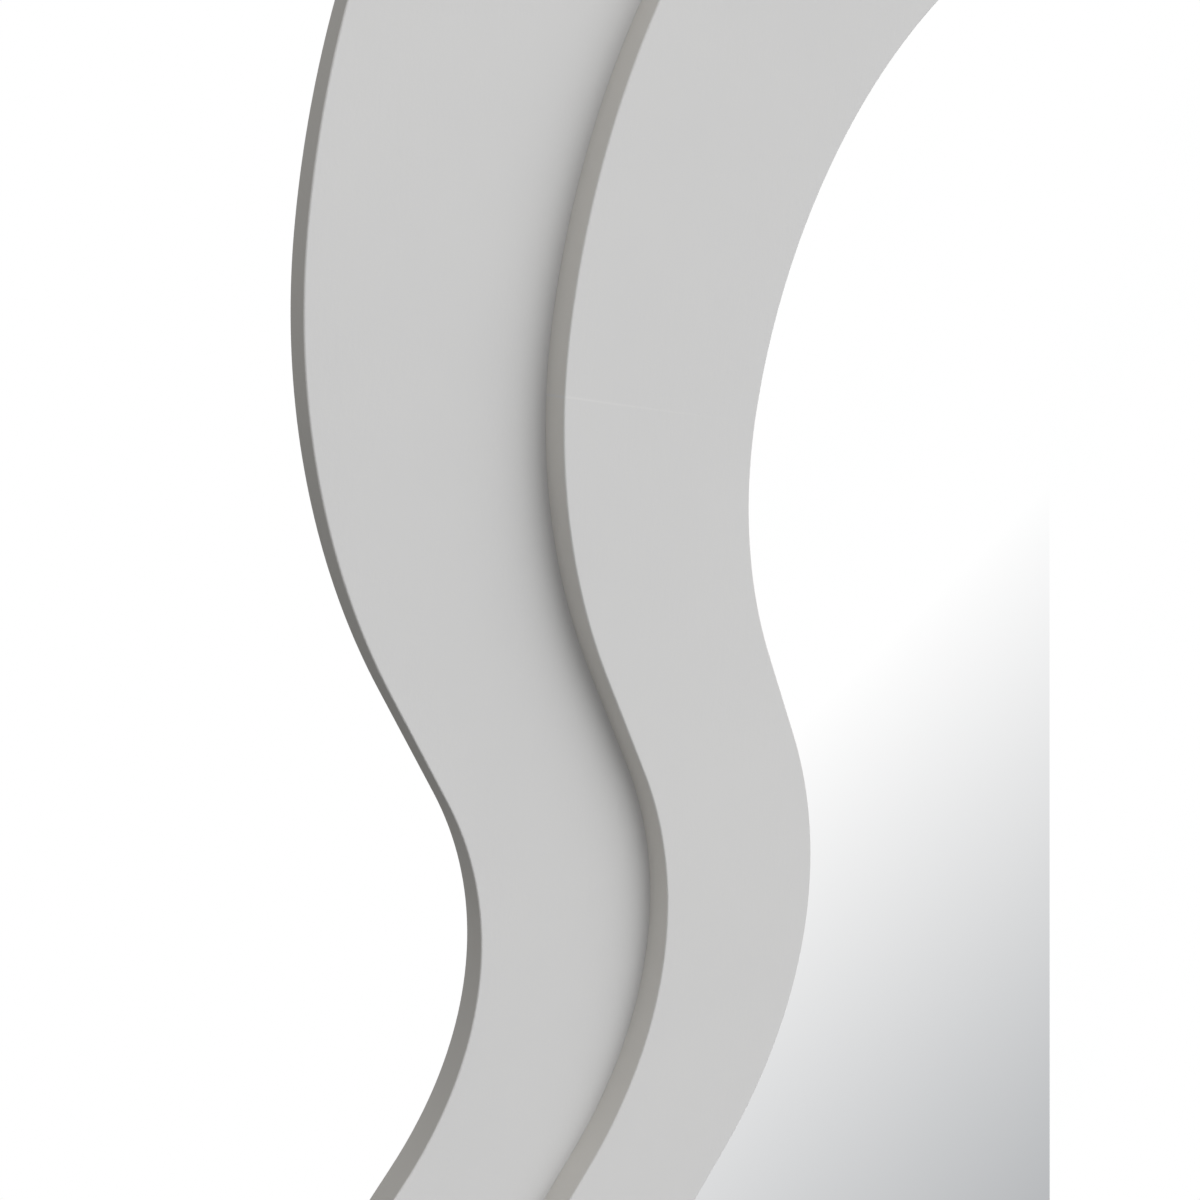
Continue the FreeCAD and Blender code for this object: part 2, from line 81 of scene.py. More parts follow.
# Shape of the three wavy outlines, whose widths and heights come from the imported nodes
LOBE_RISE_SHARES = {"opening": 0.4282, "front": 0.3968, "rear": 0.3691}
SIDE_DIPS = {"opening": 56.5 * MM, "front": 62 * MM, "rear": 68.5 * MM}
SHOULDER_RADII = {"opening": 136 * MM, "front": 173.5 * MM, "rear": 200 * MM}
CROWN_RISES = {"opening": 35 * MM, "front": 37.5 * MM, "rear": 60 * MM}
BEND_SHARE = 0.97
GLASS_LAP = 12 * MM
GLASS_REBATE = 14 * MM
PANEL_LAP = 30 * MM

# Legs of a quarter outline, counted from the waist
LEGS = 5
VALLEY, RUN, SHOULDER, CORNER, CROWN = range(LEGS)

# Make of the boards' meshes
STATION_GAP = 3 * MM
ARRIS_STEPS = 5
FACE_STEPS = 4
BOARD_ARRIS = 0.5 * MM
GLUED_ARRIS = 0.05 * MM
PANEL_ARRIS = 0.3 * MM
SEAM_BAND = 0.5 * MM

# Fittings on the back
TURNED_SIDES = 40
WOOD_HEAD_RADIUS = 3.3 * MM
WOOD_SHANK_RADIUS = 1.75 * MM
WOOD_SCREW_LENGTH = 15 * MM
WOOD_HEAD_PROUD = 0.12 * MM
PAN_HEAD_RADIUS = 2.8 * MM
PAN_HEAD_HEIGHT = 1.6 * MM
PAN_SHANK_RADIUS = 1.5 * MM
PAN_SCREW_LENGTH = 9 * MM
RECESS_REACH = 1.6 * MM
RECESS_HALF_WIDTH = 0.4 * MM
RECESS_DEPTH = 1.0 * MM
SUNK_RECESS_DEPTH = 0.1 * MM
RECESS_TAPER_SHARE = 0.5
SCREW_TURN = math.radians(137.5)
SCREW_TIP_RADIUS = 0.12 * MM
DOME_SHARES = ((0.68, 0.0), (0.84, 0.1), (0.95, 0.3), (1.0, 0.6), (1.0, 1.0))
BUMPER_RADIUS = 9 * MM
BUMPER_EDGE = 1.5 * MM
PLATE_ARRIS = 0.3 * MM
PLATE_ARRIS_STEPS = 2
WELD = 0.005 * MM
FLAT_ANGLE = math.radians(1)
SHARP_ANGLE = math.radians(40)
# Solids of one node are told apart within this many of their radii
REACH_RADII = 3

# Camera, found from the visible edges of the boards
CAMERA_PLACE = Vector((-524.58, -275.75, 166.54)) * MM
CAMERA_YAW = math.radians(35.582)
CAMERA_PITCH = math.radians(-9.4885)
CAMERA_ROLL = math.radians(7.595)
SENSOR_WIDTH_MM = 36
LENS_MM = 34.5675

# Light and floor
KEY_FROM = Vector((0.575, -0.689, 0.441))
KEY_STRENGTH = 3.35
KEY_SPREAD = math.radians(82)
FILL_SLOPE = Vector((-0.521, -0.389, 0.317))
REAR_FROM = Vector((0.3, 0.93, 0.2))
REAR_STRENGTH = 2.9
REAR_SPREAD = math.radians(14)
FLOOR_GAP = 1 * MM
FLOOR_SIZE = 12
FLOOR_SHADE = 0.82
FLOOR_ROUGHNESS = 0.8
FLOOR_SHADOW_REACH = 0.12
FLOOR_WHITE_REACH = 0.45
FLOOR_REACH_SHARES = Vector((0.5, 1, 0))

# Room that the mirror shows: white, and greyer to one side as far as the edge of a white screen
ROOM_SLOPE = Vector((0.479, 1.05, -0.751))
ROOM_OFFSET = 0.183
ROOM_DARK = (0.0, 0.02, 0.045, 1)
SCREEN_NORMAL = Vector((0.595, 0.872, 0.195))
# It is greyer ahead, to the lower left and behind too: where to, from which level on and how fast
GREY_SIDES = (
    (Vector((0, -1, 0)), 0.76, 1.25),
    (Vector((-0.75, 0, -0.55)), 0.1, 0.45),
    (Vector((0, 1, 0)), 0, 0.6),
)

# Finishes
NOISE_LOW = 0.3
NOISE_HIGH = 0.7
ZINC = (0.78, 0.76, 0.71)
ZINC_ROUGHNESS = 0.26
NICKEL = (0.72, 0.71, 0.69)
NICKEL_ROUGHNESS = 0.2
PLATING_ROUGHNESS_SPREAD = 0.16
DULL_SHARE = 0.82
# Colour of the painted shade at the floors of the screws' cross recesses
RECESS_PAINTED_SHADE = 0.05
WHITE = (1, 1, 1, 1)
BLACK = (0, 0, 0, 1)


class Outline:
    """A wavy outline, with four tangent arcs and a straight run a quarter, from the waist to the crown."""

    def __init__(self, name, corner_point, grow=0.0):
        half_width, half_height = corner_point
        rise = half_height * LOBE_RISE_SHARES[name]
        dip = SIDE_DIPS[name]
        shoulder = SHOULDER_RADII[name] + grow
        lift = CROWN_RISES[name]
        half_width += grow
        half_height += grow
        waist = half_width - dip
        corner = half_height - rise - lift
        inset = half_width - corner
        valley = BEND_SHARE * (rise ** 2 + dip ** 2) / (2 * dip) - shoulder
        crown = (inset ** 2 + lift ** 2) / (2 * lift) + corner
        across = half_width - shoulder - waist - valley
        turn = math.atan2(rise, across) - math.acos(-(valley + shoulder) / math.hypot(rise, across))
        crown_turn = math.atan2(rise - half_height + crown, inset)
        self.rise = rise
        self.shoulder = shoulder
        self.run_turn = turn
        self.arcs = {
            VALLEY: (Vector((waist + valley, 0)), valley, math.pi, math.pi + turn, -1),
            SHOULDER: (Vector((half_width - shoulder, rise)), shoulder, turn, 0, 1),
            CORNER: (Vector((half_width - corner, rise)), corner, 0, crown_turn, 1),
            CROWN: (Vector((0, half_height - crown)), crown, crown_turn, math.pi / 2, 1),
        }

    def on_arc(self, leg, share):
        """Point and outward normal at a share of the way along one arc."""
        centre, radius, start, end, side = self.arcs[leg]
        angle = start + (end - start) * share
        ray = Vector((math.cos(angle), math.sin(angle)))
        return centre + radius * ray, side * ray

    def at(self, place):
        """Point and outward normal at a place counted in legs: 0 is the waist and the last is the crown."""
        leg = min(int(place), LEGS - 1)
        if leg != RUN:
            return self.on_arc(leg, place - leg)
        first = self.on_arc(VALLEY, 1)[0]
        last, normal = self.on_arc(SHOULDER, 0)
        return first.lerp(last, place - leg), normal

    def seam_place(self, height):
        """Where a level seam crosses the shoulder arc."""
        return CORNER - math.asin((height - self.rise) / self.shoulder) / self.run_turn


def steps_between(first, last, count):
    return [first + (last - first) * step / count for step in range(count)]


def stations(inner, outer, breaks):
    """Inner and outer points and normals along a board, evenly spaced between the breaks."""
    found = []
    for (inner_from, outer_from), (inner_to, outer_to) in zip(breaks, breaks[1:]):
        reach = (outer.at(outer_to)[0] - outer.at(outer_from)[0]).length
        count = math.ceil(reach / STATION_GAP)
        found += zip(steps_between(inner_from, inner_to, count), steps_between(outer_from, outer_to, count))
    found.append(breaks[-1])
    return [(*inner.at(a), *outer.at(b)) for a, b in found]


def corner_places():
    """Places at the ends of every leg, the same on the inner and the outer outline."""
    return [(place, place) for place in range(LEGS + 1)]


def flipped(rows, across, up):
    """Stations mirrored about the middle or the waist where a sign is minus."""
    signs = Vector((across, up))
    return [tuple(signs * vector for vector in row) for row in rows]


def mirrored_run(rows, across, up):
    """A run of stations led in by its own mirror image, so that the first station given is its middle."""
    return flipped(rows, across, up)[:0:-1] + rows


def beside(end, neighbour):
    """A station one seam band in from a sawn end."""
    share = SEAM_BAND / (end[2] - neighbour[2]).length
    return tuple(a.lerp(b, share) for a, b in zip(end, neighbour))


def arris_spots(edge, inwards, wall, plane, facing, arris, rising):
    """Points and normals round one arris, from the wall to the face where rising and back otherwise."""
    turns = [math.pi / 2 * step / ARRIS_STEPS for step in range(ARRIS_STEPS + 1)]
    spots = []
    for turn in turns if rising else turns[::-1]:
        lean = math.sin(turn)
        level = math.cos(turn)
        flat = edge + inwards * arris * (1 - level)
        depth = plane - facing * arris * (1 - lean)
        normal = Vector((wall.x * level, facing * lean, wall.y * level))
        spots.append((Vector((flat.x, depth, flat.y)), normal))
    return spots


def face_spots(first, last, plane, facing):
    """Points and normals across one face, between its arrises."""
    shares = [step / FACE_STEPS for step in range(1, FACE_STEPS)]
    return [(Vector((flat.x, plane, flat.y)), Vector((0, facing, 0)))
            for flat in (first.lerp(last, share) for share in shares)]


def section(row, front, back, back_arris):
    """Ring of points and normals round a board at one station."""
    inner, inner_out, outer, outer_out = row
    return [
        *arris_spots(inner, inner_out, -inner_out, front, -1, BOARD_ARRIS, True),
        *face_spots(inner, outer, front, -1),
        *arris_spots(outer, -outer_out, outer_out, front, -1, BOARD_ARRIS, False),
        *arris_spots(outer, -outer_out, outer_out, back, 1, back_arris, True),
        *face_spots(outer, inner, back, 1),
        *arris_spots(inner, inner_out, -inner_out, back, 1, back_arris, False),
    ]


def new_piece(name, spots, faces):
    """A smooth mesh object from points with their normals, with every face turned to match them."""
    points = [point for point, normal in spots]
    turned = []
    for face in faces:
        a, b, c = (points[face[step * len(face) // 3]] for step in range(3))
        outwards = sum((spots[index][1] for index in face), Vector())
        turned.append(face if (b - a).cross(c - a).dot(outwards) > 0 else face[::-1])
    mesh = bpy.data.meshes.new(name)
    mesh.from_pydata(points, [], turned, shade_flat=False)
    mesh.normals_split_custom_set_from_vertices([normal for point, normal in spots])
    return link(name, mesh)


def link(name, data):
    """A new object in the scene that shows a mesh, a camera or a lamp."""
    piece = bpy.data.objects.new(name, data)
    bpy.context.scene.collection.objects.link(piece)
    return piece


def dress(piece, node, material):
    """Puts a piece in its CAD node's place, on the node's body, with the material given, and hides the node.
    """
    piece.data.materials.append(material)
    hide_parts(node)
    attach(piece, frame["nodes"][node]["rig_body"])


def ring_faces(first, second, count):
    """Quads between two rings of equal count, given by their first points' numbers."""
    return [(first + step, first + (step + 1) % count, second + (step + 1) % count, second + step)
            for step in range(count)]


def board(node, rows, back_arris, material):
    """A wavy board between two outlines, with rounded arrises and sawn ends."""
    low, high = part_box(node)
    rows = [rows[0], beside(rows[0], rows[1]), *rows[1:-1], beside(rows[-1], rows[-2]), rows[-1]]
    rings = [section(row, low.y, high.y, back_arris) for row in rows]
    count = len(rings[0])
    spots = [spot for ring in rings for spot in ring]
    faces = []
    for number in range(len(rings) - 1):
        faces += ring_faces(number * count, (number + 1) * count, count)
    walls = [1 - abs(normal.y) for point, normal in spots]
    # Shares across each sawn end, from none at the opening to full at the outer edge, feeding the seam's
    # ridge bump and its painted highlight
    seam_ridge_and_highlight = [0.0] * len(spots)
    for first, row in ((0, rows[0]), (len(spots) - count, rows[-1])):
        inner, outer = row[0], row[2]
        across = (outer - inner) / (outer - inner).length_squared
        end = slice(first, first + count)
        seam_ridge_and_highlight[end] = [(point.xz - inner).dot(across) for point, normal in spots[end]]
    for ring, inner_ring in ((rings[0], rings[1]), (rings[-1], rings[-2])):
        outwards = (ring[0][0] - inner_ring[0][0]).normalized()
        faces.append(tuple(range(len(spots), len(spots) + count)))
        spots += [(point, outwards) for point, normal in ring]
        seam_ridge_and_highlight += [0.0] * count
        walls += [1.0] * count
    piece = new_piece(f"painted_{node}", spots, faces)
    for name, values in (("seam", seam_ridge_and_highlight), ("wall", walls)):
        attribute = piece.data.attributes.new(name, "FLOAT", "POINT")
        attribute.data.foreach_set("value", values)
    dress(piece, node, material)


def plate(node, outline, arris, material):
    """A whole sheet inside one outline, with rounded arrises."""
    low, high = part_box(node)
    quarter = [row[:2] for row in stations(outline, outline, corner_places())]
    upper = quarter + flipped(quarter, -1, 1)[-2::-1]
    whole = upper + flipped(upper, 1, -1)[-2:0:-1]
    rings = [arris_spots(point, -normal, normal, low.y, -1, arris, False)
             + arris_spots(point, -normal, normal, high.y, 1, arris, True) for point, normal in whole]
    count = len(rings[0])
    spots = [spot for ring in rings for spot in ring]
    faces = []
    for number in range(len(rings)):
        here = number * count
        there = (number + 1) % len(rings) * count
        faces += [(here + step, here + step + 1, there + step + 1, there + step) for step in range(count - 1)]
    piece = new_piece(f"finished_{node}", spots, faces)
    work = bmesh.new()
    work.from_mesh(piece.data)
    work.verts.ensure_lookup_table()
    for first in (0, count - 1):
        work.faces.new([work.verts[first + number * count] for number in range(len(rings))])
    bmesh.ops.recalc_face_normals(work, faces=work.faces)
    work.to_mesh(piece.data)
    work.free()
    dress(piece, node, material)


def spots_of(node, reach):
    """Middle X and Z of each separate solid of a CAD node, where solids are further apart than the reach."""
    groups = []
    for vertex in frame["nodes"][node].data.vertices:
        place = Vector((vertex.co.x, vertex.co.z))
        group = next((group for group in groups if (group[0] - place).length < reach), None)
        if group is None:
            groups.append([place])
        else:
            group.append(place)
    middles = []
    for group in groups:
        low = Vector((min(place.x for place in group), min(place.y for place in group)))
        high = Vector((max(place.x for place in group), max(place.y for place in group)))
        middles.append((low + high) / 2)
    return middles


def turned_rings(work, place, top, profile):
    """Rings of a turned form, given as radius and depth below the top, which faces +Y."""
    turns = [2 * math.pi * step / TURNED_SIDES for step in range(TURNED_SIDES)]
    rings = []
    for radius, depth in profile:
        flats = [(place.x + radius * math.cos(turn), place.y + radius * math.sin(turn)) for turn in turns]
        rings.append([work.verts.new((x, top - depth, z)) for x, z in flats])
    for upper, lower in zip(rings, rings[1:]):
        for step in range(TURNED_SIDES):
            after = (step + 1) % TURNED_SIDES
            work.faces.new((upper[step], upper[after], lower[after], lower[step]))
    work.faces.new(rings[-1])
    return rings


def cross_recess(work, place, top, depth, rim, turn):
    """Cuts a tapered cross into the flat top inside the rim, with painted shade darkening it towards its
    floor.
    """
    # The recess layer marks the recess floors, where painted shade darkens the plating
    marks = work.verts.layers.float["recess"]
    taper = 1 - (1 - RECESS_TAPER_SHARE) * depth / RECESS_DEPTH
    levels = []
    for drop, share in ((0, 1), (depth, taper)):
        reach = RECESS_REACH * share
        half = RECESS_HALF_WIDTH
        arm = ((reach, -half), (reach, half), (half, half))
        corners = []
        for quarter in range(4):
            swing = Matrix.Rotation(turn + quarter * math.pi / 2, 2)
            for spot in arm:
                flat = place + swing @ Vector(spot)
                corners.append(work.verts.new((flat.x, top - drop, flat.y)))
        levels.append(corners)
    mouth, floor = levels
    for corner in floor:
        corner[marks] = 1
    edges = []
    for ring in (mouth, rim):
        edges += [work.edges.get(pair) or work.edges.new(pair) for pair in zip(ring, ring[1:] + ring[:1])]
    bmesh.ops.triangle_fill(work, edges=edges, use_beauty=True)
    for step in range(len(mouth)):
        after = (step + 1) % len(mouth)
        work.faces.new((mouth[step], mouth[after], floor[after], floor[step]))
    work.faces.new(floor)


def turned_set(node, name, reach, top, profile, recess, material):
    """All the turned fittings of one CAD node as one piece, with a cross recess where its depth is given."""
    work = bmesh.new()
    # This layer carries the painted shade of the cross recesses
    work.verts.layers.float.new("recess")
    for number, place in enumerate(spots_of(node, reach)):
        rings = turned_rings(work, place, top, profile)
        if recess:
            cross_recess(work, place, top, recess, rings[0], number * SCREW_TURN)
        else:
            work.faces.new(rings[0])
    bmesh.ops.recalc_face_normals(work, faces=work.faces)
    mesh = bpy.data.meshes.new(name)
    work.to_mesh(mesh)
    work.free()
    mesh.polygons.foreach_set("use_smooth", [True] * len(mesh.polygons))
    mesh.set_sharp_from_angle(angle=SHARP_ANGLE)
    dress(link(name, mesh), node, material)


class Surface:
    """A material under construction: a principled shader and the few textures that feed it."""

    def __init__(self, name, **constants):
        self.material = bpy.data.materials.new(name)
        self.material.use_nodes = True
        self.nodes = self.material.node_tree.nodes
        self.links = self.material.node_tree.links
        self.shader = self.nodes["Principled BSDF"]
        for socket, value in constants.items():
            self.shader.inputs[socket.replace("_", " ")].default_value = value
        self.place = self.nodes.new("ShaderNodeTexCoord").outputs["Object"]

    def stretched(self, factors):
        """The place in the object, scaled differently along the three axes."""
        mapping = self.nodes.new("ShaderNodeMapping")
        mapping.inputs["Scale"].default_value = factors
        self.links.new(self.place, mapping.inputs["Vector"])
        return mapping.outputs["Vector"]

    def noise(self, scale, detail=2.0, roughness=0.5, place=None):
        texture = self.nodes.new("ShaderNodeTexNoise")
        texture.inputs["Scale"].default_value = scale
        texture.inputs["Detail"].default_value = detail
        texture.inputs["Roughness"].default_value = roughness
        self.links.new(place or self.place, texture.inputs["Vector"])
        return texture.outputs["Fac"]

    def ramp(self, value, stops):
        """Colours between stops, each given as a position and a colour."""
        ramp = self.nodes.new("ShaderNodeValToRGB")
        elements = ramp.color_ramp.elements
        while len(elements) < len(stops):
            elements.new(0.5)
        for element, (position, colour) in zip(elements, stops):
            element.position = position
            element.color = colour
        self.links.new(value, ramp.inputs["Fac"])
        return ramp.outputs["Color"]

    def span(self, value, low, high):
        """A noise value spread from low to high."""
        spread = self.nodes.new("ShaderNodeMapRange")
        spread.inputs["From Min"].default_value = NOISE_LOW
        spread.inputs["From Max"].default_value = NOISE_HIGH
        spread.inputs["To Min"].default_value = low
        spread.inputs["To Max"].default_value = high
        self.links.new(value, spread.inputs["Value"])
        return spread.outputs["Result"]

    def blend(self, share, first, second):
        return mixed(self.material.node_tree, share, first, second)

    def attribute(self, name):
        node = self.nodes.new("ShaderNodeAttribute")
        node.attribute_name = name
        return node.outputs["Fac"]

    def bump(self, height, distance):
        """Adds a bump on top of those added before it."""
        bump = self.nodes.new("ShaderNodeBump")
        bump.inputs["Distance"].default_value = distance
        self.links.new(height, bump.inputs["Height"])
        if self.shader.inputs["Normal"].links:
            self.links.new(self.shader.inputs["Normal"].links[0].from_socket, bump.inputs["Normal"])
        self.links.new(bump.outputs["Normal"], self.shader.inputs["Normal"])

    def feed(self, socket, output):
        self.links.new(output, self.shader.inputs[socket])


def grey(level, warmth=0.0):
    """An opaque grey, warmer where warmth is above zero."""
    return (level * (1 + warmth), level, level * (1 - 2 * warmth), 1)


def painted_board():
    """Pale grey matt paint, rolled on board, warmer on the sawn sides, and with a filled ridge at each butt
    whose paint carries a painted highlight that fades towards the opening.
    """
    surface = Surface("painted_board", Specular_IOR_Level=0.12)
    mottle = surface.noise(scale=9, detail=4, roughness=0.6)
    drift = surface.ramp(mottle, ((0.3, grey(0.572, 0.001)), (0.7, grey(0.592, 0.003))))
    nap = surface.noise(scale=420, detail=3, roughness=0.65, place=surface.stretched((1, 1, 0.35)))
    sides = surface.ramp(mottle, ((0.3, grey(0.604, 0.026)), (0.7, grey(0.624, 0.028))))
    coat = surface.blend(surface.attribute("wall"), drift, sides)
    seam = surface.attribute("seam")
    # Painted highlight along each butt's filled ridge: the paint turns lighter over the seam band
    surface.feed("Base Color", surface.blend(seam, coat, grey(0.615, 0.004)))
    surface.feed("Roughness", surface.span(mottle, 0.55, 0.68))
    surface.bump(nap, 0.03 * MM)
    surface.bump(surface.noise(scale=1500, detail=2), 0.012 * MM)
    surface.bump(seam, 0.006 * MM)
    return surface.material


def mirror():
    """Silvered glass, with the faintest of wiping marks."""
    surface = Surface("mirror", Metallic=1.0)
    haze = surface.noise(scale=7, detail=5, roughness=0.7)
    surface.feed("Base Color", surface.ramp(haze, ((0.5, WHITE), (0.9, (0.99, 0.995, 0.995, 1)))))
    surface.feed("Roughness", surface.span(haze, 0.0, 0.008))
    return surface.material


def hardboard():
    """Smooth brown hardboard with short fibres."""
    surface = Surface("hardboard", Specular_IOR_Level=0.3)
    fibre = surface.noise(scale=160, detail=6, roughness=0.75, place=surface.stretched((1, 1, 3)))
    cloud = surface.noise(scale=6, detail=3)
    body = surface.ramp(fibre, ((0.3, (0.15, 0.085, 0.042, 1)), (0.55, (0.24, 0.145, 0.078, 1)),
                                (0.75, (0.33, 0.215, 0.125, 1))))
    shade = surface.ramp(cloud, ((0.35, (0.19, 0.11, 0.058, 1)), (0.65, (0.27, 0.17, 0.095, 1))))
    half = surface.span(cloud, 0.25, 0.45)
    surface.feed("Base Color", surface.blend(half, body, shade))
    surface.feed("Roughness", surface.span(fibre, 0.42, 0.6))
    surface.bump(fibre, 0.05 * MM)
    return surface.material


def steel(name, colour, roughness):
    """Plated steel with fine drawn lines, a little clouding and painted shade in its cross recesses."""
    surface = Surface(name, Metallic=1.0)
    lines = surface.noise(scale=900, detail=3, place=surface.stretched((0.05, 1, 1)))
    cloud = surface.noise(scale=120, detail=4, roughness=0.6)
    dull = tuple(DULL_SHARE * level for level in colour)
    plating = surface.ramp(cloud, ((0.3, (*dull, 1)), (0.65, (*colour, 1))))
    # Painted shade: the plating turns nearly black towards each cross recess's floor
    surface.feed("Base Color", surface.blend(surface.attribute("recess"), plating, grey(RECESS_PAINTED_SHADE)))
    surface.feed("Roughness", surface.span(lines, roughness, roughness + PLATING_ROUGHNESS_SPREAD))
    surface.bump(lines, 0.008 * MM)
    return surface.material


def rubber():
    """Matt black rubber with a fine moulded grain and a little dust."""
    surface = Surface("bumper_rubber", Specular_IOR_Level=0.35)
    dust = surface.noise(scale=90, detail=5, roughness=0.7)
    bloom = surface.ramp(dust, ((0.45, (0.018, 0.018, 0.019, 1)), (0.8, (0.06, 0.06, 0.058, 1))))
    surface.feed("Base Color", bloom)
    surface.feed("Roughness", surface.span(dust, 0.62, 0.85))
    surface.bump(surface.noise(scale=1800, detail=2), 0.03 * MM)
    return surface.material


def foam():
    """Closed-cell packing foam."""
    surface = Surface("foam", Roughness=0.9)
    cells = surface.noise(scale=700, detail=2)
    surface.feed("Base Color", surface.ramp(cells, ((0.3, grey(0.62)), (0.7, grey(0.74)))))
    surface.bump(cells, 0.1 * MM)
    return surface.material


def refinish(node, material):
    """Gives a CAD node that keeps its own shape its material."""
    mesh = frame["nodes"][node].data
    mesh.materials.clear()
    mesh.materials.append(material)


def ease_edges(node, arris):
    """Joins a CAD node's split edges and rounds its sharp ones."""
    piece = frame["nodes"][node]
    weld = piece.modifiers.new("weld", "WELD")
    weld.merge_threshold = WELD
    flats = piece.modifiers.new("flats", "DECIMATE")
    flats.decimate_type = "DISSOLVE"
    flats.angle_limit = FLAT_ANGLE
    bevel = piece.modifiers.new("arris", "BEVEL")
    bevel.width = arris
    bevel.segments = PLATE_ARRIS_STEPS
    bevel.limit_method = "ANGLE"
    bevel.angle_limit = SHARP_ANGLE
    bevel.harden_normals = True


def build_boards():
    """The two tiers and the backing panel."""
    rear_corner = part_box("rear_tier_right")[1].xz
    front_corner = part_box("front_tier_top")[1].xz
    opening_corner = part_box("mirror_glass")[1].xz - Vector((GLASS_LAP, GLASS_LAP))
    rear = Outline("rear", rear_corner)
    front = Outline("front", front_corner)
    opening = Outline("opening", opening_corner)
    seat = Outline("opening", opening_corner, GLASS_REBATE)
    panel = Outline("opening", opening_corner, PANEL_LAP)
    paint = painted_board()
    corners = corner_places()
    right_half = mirrored_run(stations(seat, rear, corners), 1, -1)
    board("rear_tier_right", right_half, BOARD_ARRIS, paint)
    board("rear_tier_left", flipped(right_half, -1, 1), BOARD_ARRIS, paint)
    seam_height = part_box("front_tier_top")[0].z
    seam = (opening.seam_place(seam_height), front.seam_place(seam_height))
    flank = mirrored_run(stations(opening, front, [*corners[:CORNER], seam]), 1, -1)
    crown = mirrored_run(stations(opening, front, [seam, *corners[CORNER:]])[::-1], -1, 1)
    board("front_tier_right", flank, GLUED_ARRIS, paint)
    board("front_tier_left", flipped(flank, -1, 1), GLUED_ARRIS, paint)
    board("front_tier_top", crown, GLUED_ARRIS, paint)
    board("front_tier_bottom", flipped(crown, 1, -1), GLUED_ARRIS, paint)
    plate("backing_panel", panel, PANEL_ARRIS, hardboard())


def build_fittings():
    """Screws, bumpers and hangers on the back."""
    zinc = steel("screw_steel", ZINC, ZINC_ROUGHNESS)
    nickel = steel("hanger_steel", NICKEL, NICKEL_ROUGHNESS)
    cone = WOOD_HEAD_RADIUS - WOOD_SHANK_RADIUS
    wood_profile = (
        (WOOD_HEAD_RADIUS - WOOD_HEAD_PROUD, 0),
        (WOOD_HEAD_RADIUS, WOOD_HEAD_PROUD),
        (WOOD_SHANK_RADIUS, WOOD_HEAD_PROUD + cone),
        (WOOD_SHANK_RADIUS, WOOD_SCREW_LENGTH - WOOD_SHANK_RADIUS),
        (SCREW_TIP_RADIUS, WOOD_SCREW_LENGTH),
    )
    for node, recess in (("tier_screws", SUNK_RECESS_DEPTH), ("hanger_screws", RECESS_DEPTH)):
        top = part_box(node)[1].y + WOOD_HEAD_PROUD
        turned_set(node, f"crosshead_{node}", REACH_RADII * WOOD_HEAD_RADIUS, top, wood_profile, recess, zinc)
    pan_profile = [(PAN_HEAD_RADIUS * out, PAN_HEAD_HEIGHT * down) for out, down in DOME_SHARES]
    pan_profile += [
        (PAN_SHANK_RADIUS, PAN_HEAD_HEIGHT),
        (PAN_SHANK_RADIUS, PAN_HEAD_HEIGHT + PAN_SCREW_LENGTH - PAN_SHANK_RADIUS),
        (SCREW_TIP_RADIUS, PAN_HEAD_HEIGHT + PAN_SCREW_LENGTH),
    ]
    turned_set("panel_screws", "crosshead_panel_screws", REACH_RADII * PAN_HEAD_RADIUS,
               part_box("panel_screws")[1].y, pan_profile, RECESS_DEPTH, zinc)
    low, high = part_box("wall_bumpers")
    turns = [math.pi / 2 * step / ARRIS_STEPS for step in range(ARRIS_STEPS + 1)]
    bumper_profile = [(BUMPER_RADIUS - BUMPER_EDGE * (1 - math.sin(turn)), BUMPER_EDGE * (1 - math.cos(turn)))
                      for turn in turns]
    bumper_profile.append((BUMPER_RADIUS, high.y - low.y))
    turned_set("wall_bumpers", "soft_wall_bumpers", REACH_RADII * BUMPER_RADIUS,
               high.y, bumper_profile, 0, rubber())
    for side in ("left", "right"):
        refinish(f"hanger_plate_{side}", nickel)
        ease_edges(f"hanger_plate_{side}", PLATE_ARRIS)
        refinish(f"hanger_ring_{side}", nickel)


def place_camera():
    data = bpy.data.cameras.new("camera")
    data.sensor_width = SENSOR_WIDTH_MM
    data.lens = LENS_MM
    camera = link("camera", data)
    level = Matrix.Rotation(-CAMERA_YAW, 4, "Z") @ Matrix.Rotation(math.pi / 2 + CAMERA_PITCH, 4, "X")
    camera.matrix_world = Matrix.Translation(CAMERA_PLACE) @ level @ Matrix.Rotation(CAMERA_ROLL, 4, "Z")
    bpy.context.scene.camera = camera


def place_lamp(name, origin, strength, spread):
    """A soft light from one side, which the mirror doesn't show."""
    data = bpy.data.lights.new(name, "SUN")
    data.energy = strength
    data.angle = spread
    lamp = link(name, data)
    lamp.rotation_euler = origin.to_track_quat("Z", "Y").to_euler()
    lamp.visible_glossy = False


def maths(tree, operation, *values):
    """A maths node fed with outputs or plain numbers."""
    node = tree.nodes.new("ShaderNodeMath")
    node.operation = operation
    for entry, value in zip(node.inputs, values):
        if isinstance(value, (int, float)):
            entry.default_value = value
        else:
            tree.links.new(value, entry)
    return node.outputs["Value"]


def dot(tree, direction, vector):
    node = tree.nodes.new("ShaderNodeVectorMath")
    node.operation = "DOT_PRODUCT"
    tree.links.new(direction, node.inputs[0])
    node.inputs[1].default_value = vector
    return node.outputs["Value"]


